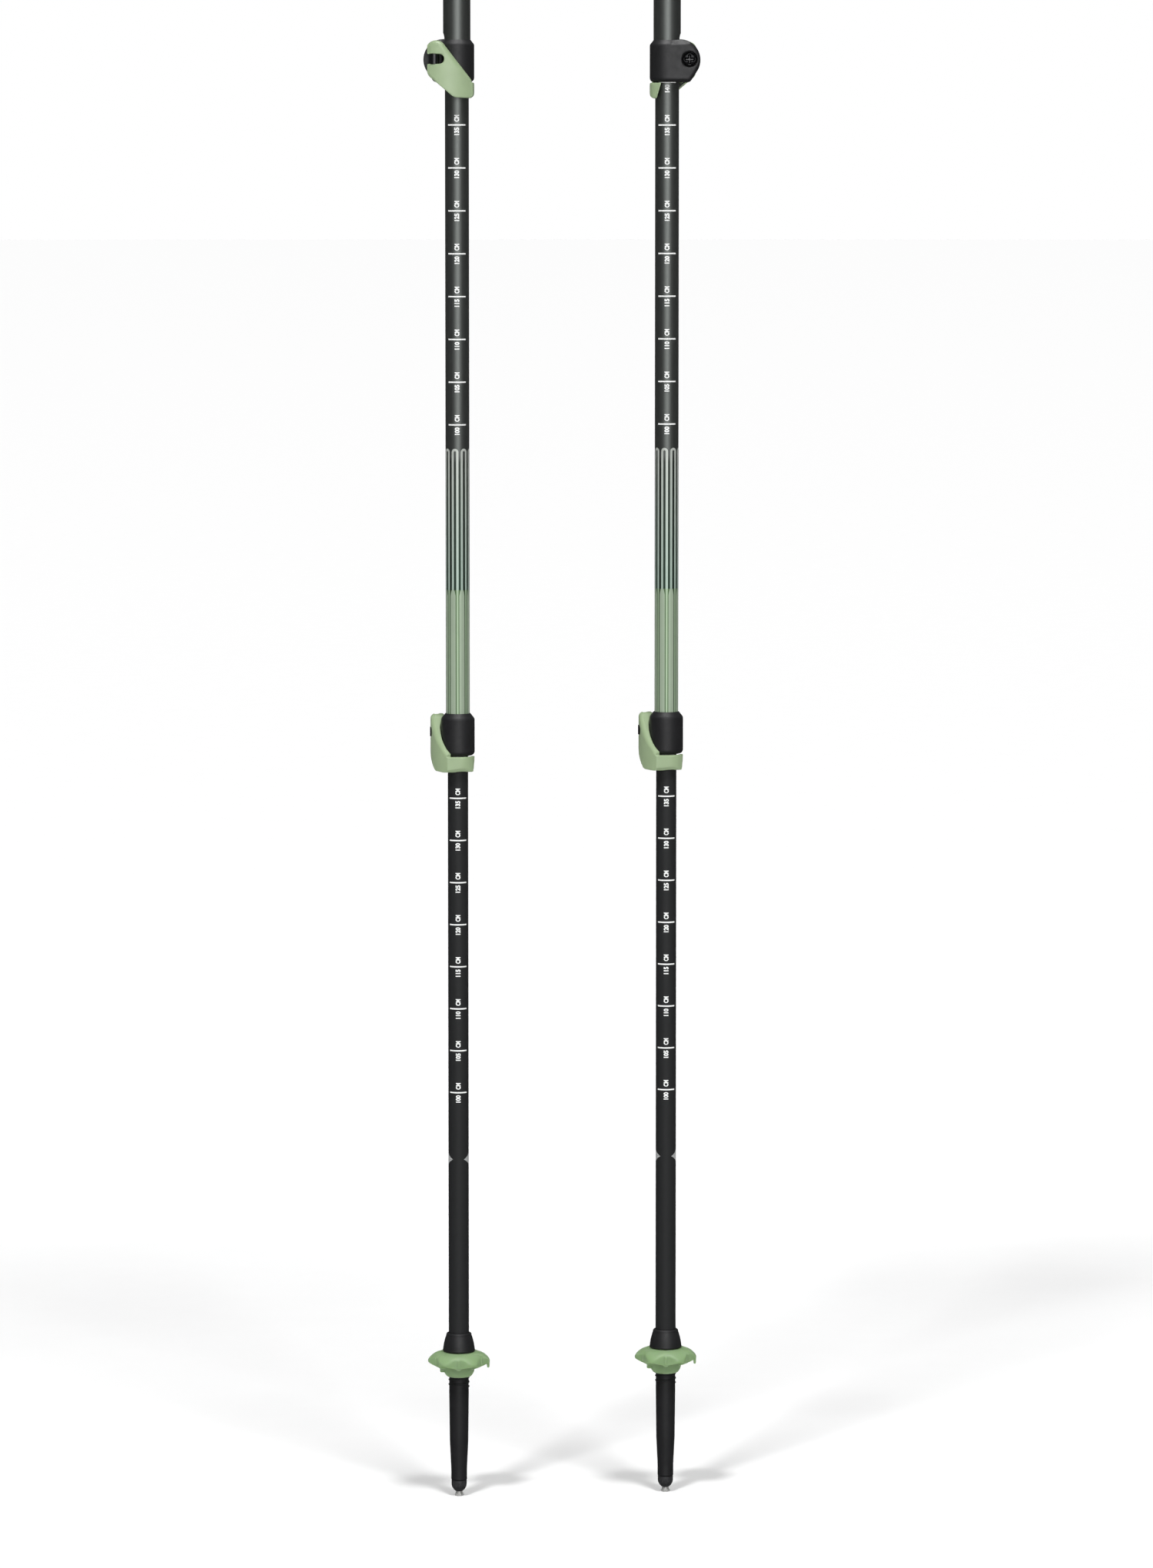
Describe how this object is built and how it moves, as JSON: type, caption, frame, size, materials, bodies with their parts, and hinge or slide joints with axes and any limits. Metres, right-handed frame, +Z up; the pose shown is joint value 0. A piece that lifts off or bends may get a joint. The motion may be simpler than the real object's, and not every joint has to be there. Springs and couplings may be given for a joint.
{
  "type": "pair of trekking poles",
  "caption": "Pair of three-section telescopic trekking poles with flip-lever clamps, scale marks, lobed baskets, hard tips, foam grips and wrist straps.",
  "frame": {"origin": "on the floor, midway between the two poles' tips", "axes": "+Z up along the poles, +X from the left pole to the right, -Y towards the viewer"},
  "size_m": [0.1618, 0.1686, 1.4],
  "materials": {
    "tube_charcoal": "charcoal anodised, satin",
    "tube_striped": "charcoal fading into printed mint and green stripes, satin",
    "tube_black": "black anodised, matte",
    "black_plastic": "black glass-filled nylon, fine texture",
    "sage_plastic": "sage green, satin",
    "basket_plastic": "sage green, slightly translucent",
    "black_metal": "black oxide",
    "grey_plastic": "dark grey acetal",
    "cup_metal": "dark grey, ribbed",
    "tip_metal": "sintered carbide, light grey",
    "grip_foam": "closed-cell foam, fine grain",
    "cap_plastic": "black, fine texture",
    "webbing": "black woven webbing with a sage stripe",
    "pin_metal": "steel"
  },
  "bodies": {
    "left_upper_section": {"left_upper_tube": "tube_charcoal", "left_grip": "grip_foam", "left_grip_extension": "grip_foam", "left_grip_cap": "cap_plastic", "left_strap_pin": "pin_metal", "left_strap_anchor": "webbing", "left_strap_wedge": "grey_plastic", "left_upper_collar": "black_plastic", "left_upper_barrel_nut": "black_metal"},
    "left_wrist_strap": {"left_strap": "webbing"},
    "left_upper_flip_lever": {"left_upper_lever": "sage_plastic", "left_upper_lever_liner": "black_plastic"},
    "left_upper_screw": {"left_upper_tension_screw": "black_metal"},
    "left_middle_guide": {"left_middle_bushing": "grey_plastic"},
    "left_middle_section": {"left_middle_tube": "tube_striped", "left_lower_collar": "black_plastic", "left_lower_barrel_nut": "black_metal"},
    "left_lower_flip_lever": {"left_lower_lever": "sage_plastic", "left_lower_lever_liner": "black_plastic"},
    "left_lower_screw": {"left_lower_tension_screw": "black_metal"},
    "left_lower_guide": {"left_lower_bushing": "grey_plastic"},
    "left_lower_section": {"left_lower_tube": "tube_black", "left_ferrule": "black_plastic", "left_tip_cup": "cup_metal", "left_carbide_tip": "tip_metal"},
    "left_trekking_basket": {"left_basket": "basket_plastic"},
    "right_upper_section": {"right_upper_tube": "tube_charcoal", "right_grip": "grip_foam", "right_grip_extension": "grip_foam", "right_grip_cap": "cap_plastic", "right_strap_pin": "pin_metal", "right_strap_anchor": "webbing", "right_strap_wedge": "grey_plastic", "right_upper_collar": "black_plastic", "right_upper_barrel_nut": "black_metal"},
    "right_wrist_strap": {"right_strap": "webbing"},
    "right_upper_flip_lever": {"right_upper_lever": "sage_plastic", "right_upper_lever_liner": "black_plastic"},
    "right_upper_screw": {"right_upper_tension_screw": "black_metal"},
    "right_middle_guide": {"right_middle_bushing": "grey_plastic"},
    "right_middle_section": {"right_middle_tube": "tube_striped", "right_lower_collar": "black_plastic", "right_lower_barrel_nut": "black_metal"},
    "right_lower_flip_lever": {"right_lower_lever": "sage_plastic", "right_lower_lever_liner": "black_plastic"},
    "right_lower_screw": {"right_lower_tension_screw": "black_metal"},
    "right_lower_guide": {"right_lower_bushing": "grey_plastic"},
    "right_lower_section": {"right_lower_tube": "tube_black", "right_ferrule": "black_plastic", "right_tip_cup": "cup_metal", "right_carbide_tip": "tip_metal"},
    "right_trekking_basket": {"right_basket": "basket_plastic"}
  },
  "joints": [
    {"name": "left_strap_swing", "type": "hinge", "parent": "left_upper_section", "child": "left_wrist_strap", "pos_m": [-0.0615, -0.032, 1.3815], "axis": [-1, 0, 0], "range_deg": [0, 135]},
    {"name": "left_upper_lever_flip", "type": "hinge", "parent": "left_upper_section", "child": "left_upper_flip_lever", "pos_m": [-0.0745, -0.0166, 0.8512], "axis": [0, 0, -1], "range_deg": [0, 130]},
    {"name": "left_upper_screw_turn", "type": "hinge", "parent": "left_upper_section", "child": "left_upper_screw", "pos_m": [-0.0745, -0.006, 0.8512], "axis": [0, -1, 0], "range_deg": [-180, 180]},
    {"name": "left_middle_slide", "type": "slide", "parent": "left_upper_section", "child": "left_middle_guide", "axis": [0, 0, 1], "range_m": [0, 0.355]},
    {"name": "left_middle_turn", "type": "hinge", "parent": "left_middle_guide", "child": "left_middle_section", "pos_m": [-0.0615, -0.006, 0.919], "axis": [0, 0, 1], "continuous": true},
    {"name": "left_lower_lever_flip", "type": "hinge", "parent": "left_middle_section", "child": "left_lower_flip_lever", "pos_m": [-0.07506, 0.00313, 0.4562], "axis": [0, 0, -1], "range_deg": [0, 130]},
    {"name": "left_lower_screw_turn", "type": "hinge", "parent": "left_middle_section", "child": "left_lower_screw", "pos_m": [-0.06521, 0.00615, 0.4562], "axis": [-0.9563, -0.2924, 0], "range_deg": [-180, 180]},
    {"name": "left_lower_slide", "type": "slide", "parent": "left_middle_section", "child": "left_lower_guide", "axis": [0, 0, 1], "range_m": [0, 0.33]},
    {"name": "left_lower_turn", "type": "hinge", "parent": "left_lower_guide", "child": "left_lower_section", "pos_m": [-0.0615, -0.006, 0.524], "axis": [0, 0, 1], "continuous": true},
    {"name": "left_basket_off", "type": "slide", "parent": "left_lower_section", "child": "left_trekking_basket", "axis": [0, 0, -1], "range_m": [0, 0.07]},
    {"name": "right_pole_apart", "type": "slide", "parent": "left_upper_section", "child": "right_upper_section", "axis": [1, 0, 0], "range_m": [0, 0.3]},
    {"name": "right_strap_swing", "type": "hinge", "parent": "right_upper_section", "child": "right_wrist_strap", "pos_m": [0.0615, 0.032, 1.3815], "axis": [1, 0, 0], "range_deg": [0, 135]},
    {"name": "right_upper_lever_flip", "type": "hinge", "parent": "right_upper_section", "child": "right_upper_flip_lever", "pos_m": [0.0745, 0.0166, 0.8512], "axis": [0, 0, -1], "range_deg": [0, 130]},
    {"name": "right_upper_screw_turn", "type": "hinge", "parent": "right_upper_section", "child": "right_upper_screw", "pos_m": [0.0745, 0.006, 0.8512], "axis": [0, 1, 0], "range_deg": [-180, 180]},
    {"name": "right_middle_slide", "type": "slide", "parent": "right_upper_section", "child": "right_middle_guide", "axis": [0, 0, 1], "range_m": [0, 0.355]},
    {"name": "right_middle_turn", "type": "hinge", "parent": "right_middle_guide", "child": "right_middle_section", "pos_m": [0.0615, 0.006, 0.919], "axis": [0, 0, 1], "continuous": true},
    {"name": "right_lower_lever_flip", "type": "hinge", "parent": "right_middle_section", "child": "right_lower_flip_lever", "pos_m": [0.04794, 0.01513, 0.4562], "axis": [0, 0, -1], "range_deg": [0, 130]},
    {"name": "right_lower_screw_turn", "type": "hinge", "parent": "right_middle_section", "child": "right_lower_screw", "pos_m": [0.05779, 0.01815, 0.4562], "axis": [-0.9563, -0.2924, 0], "range_deg": [-180, 180]},
    {"name": "right_lower_slide", "type": "slide", "parent": "right_middle_section", "child": "right_lower_guide", "axis": [0, 0, 1], "range_m": [0, 0.33]},
    {"name": "right_lower_turn", "type": "hinge", "parent": "right_lower_guide", "child": "right_lower_section", "pos_m": [0.0615, 0.006, 0.524], "axis": [0, 0, 1], "continuous": true},
    {"name": "right_basket_off", "type": "slide", "parent": "right_lower_section", "child": "right_trekking_basket", "axis": [0, 0, -1], "range_m": [0, 0.07]}
  ]
}
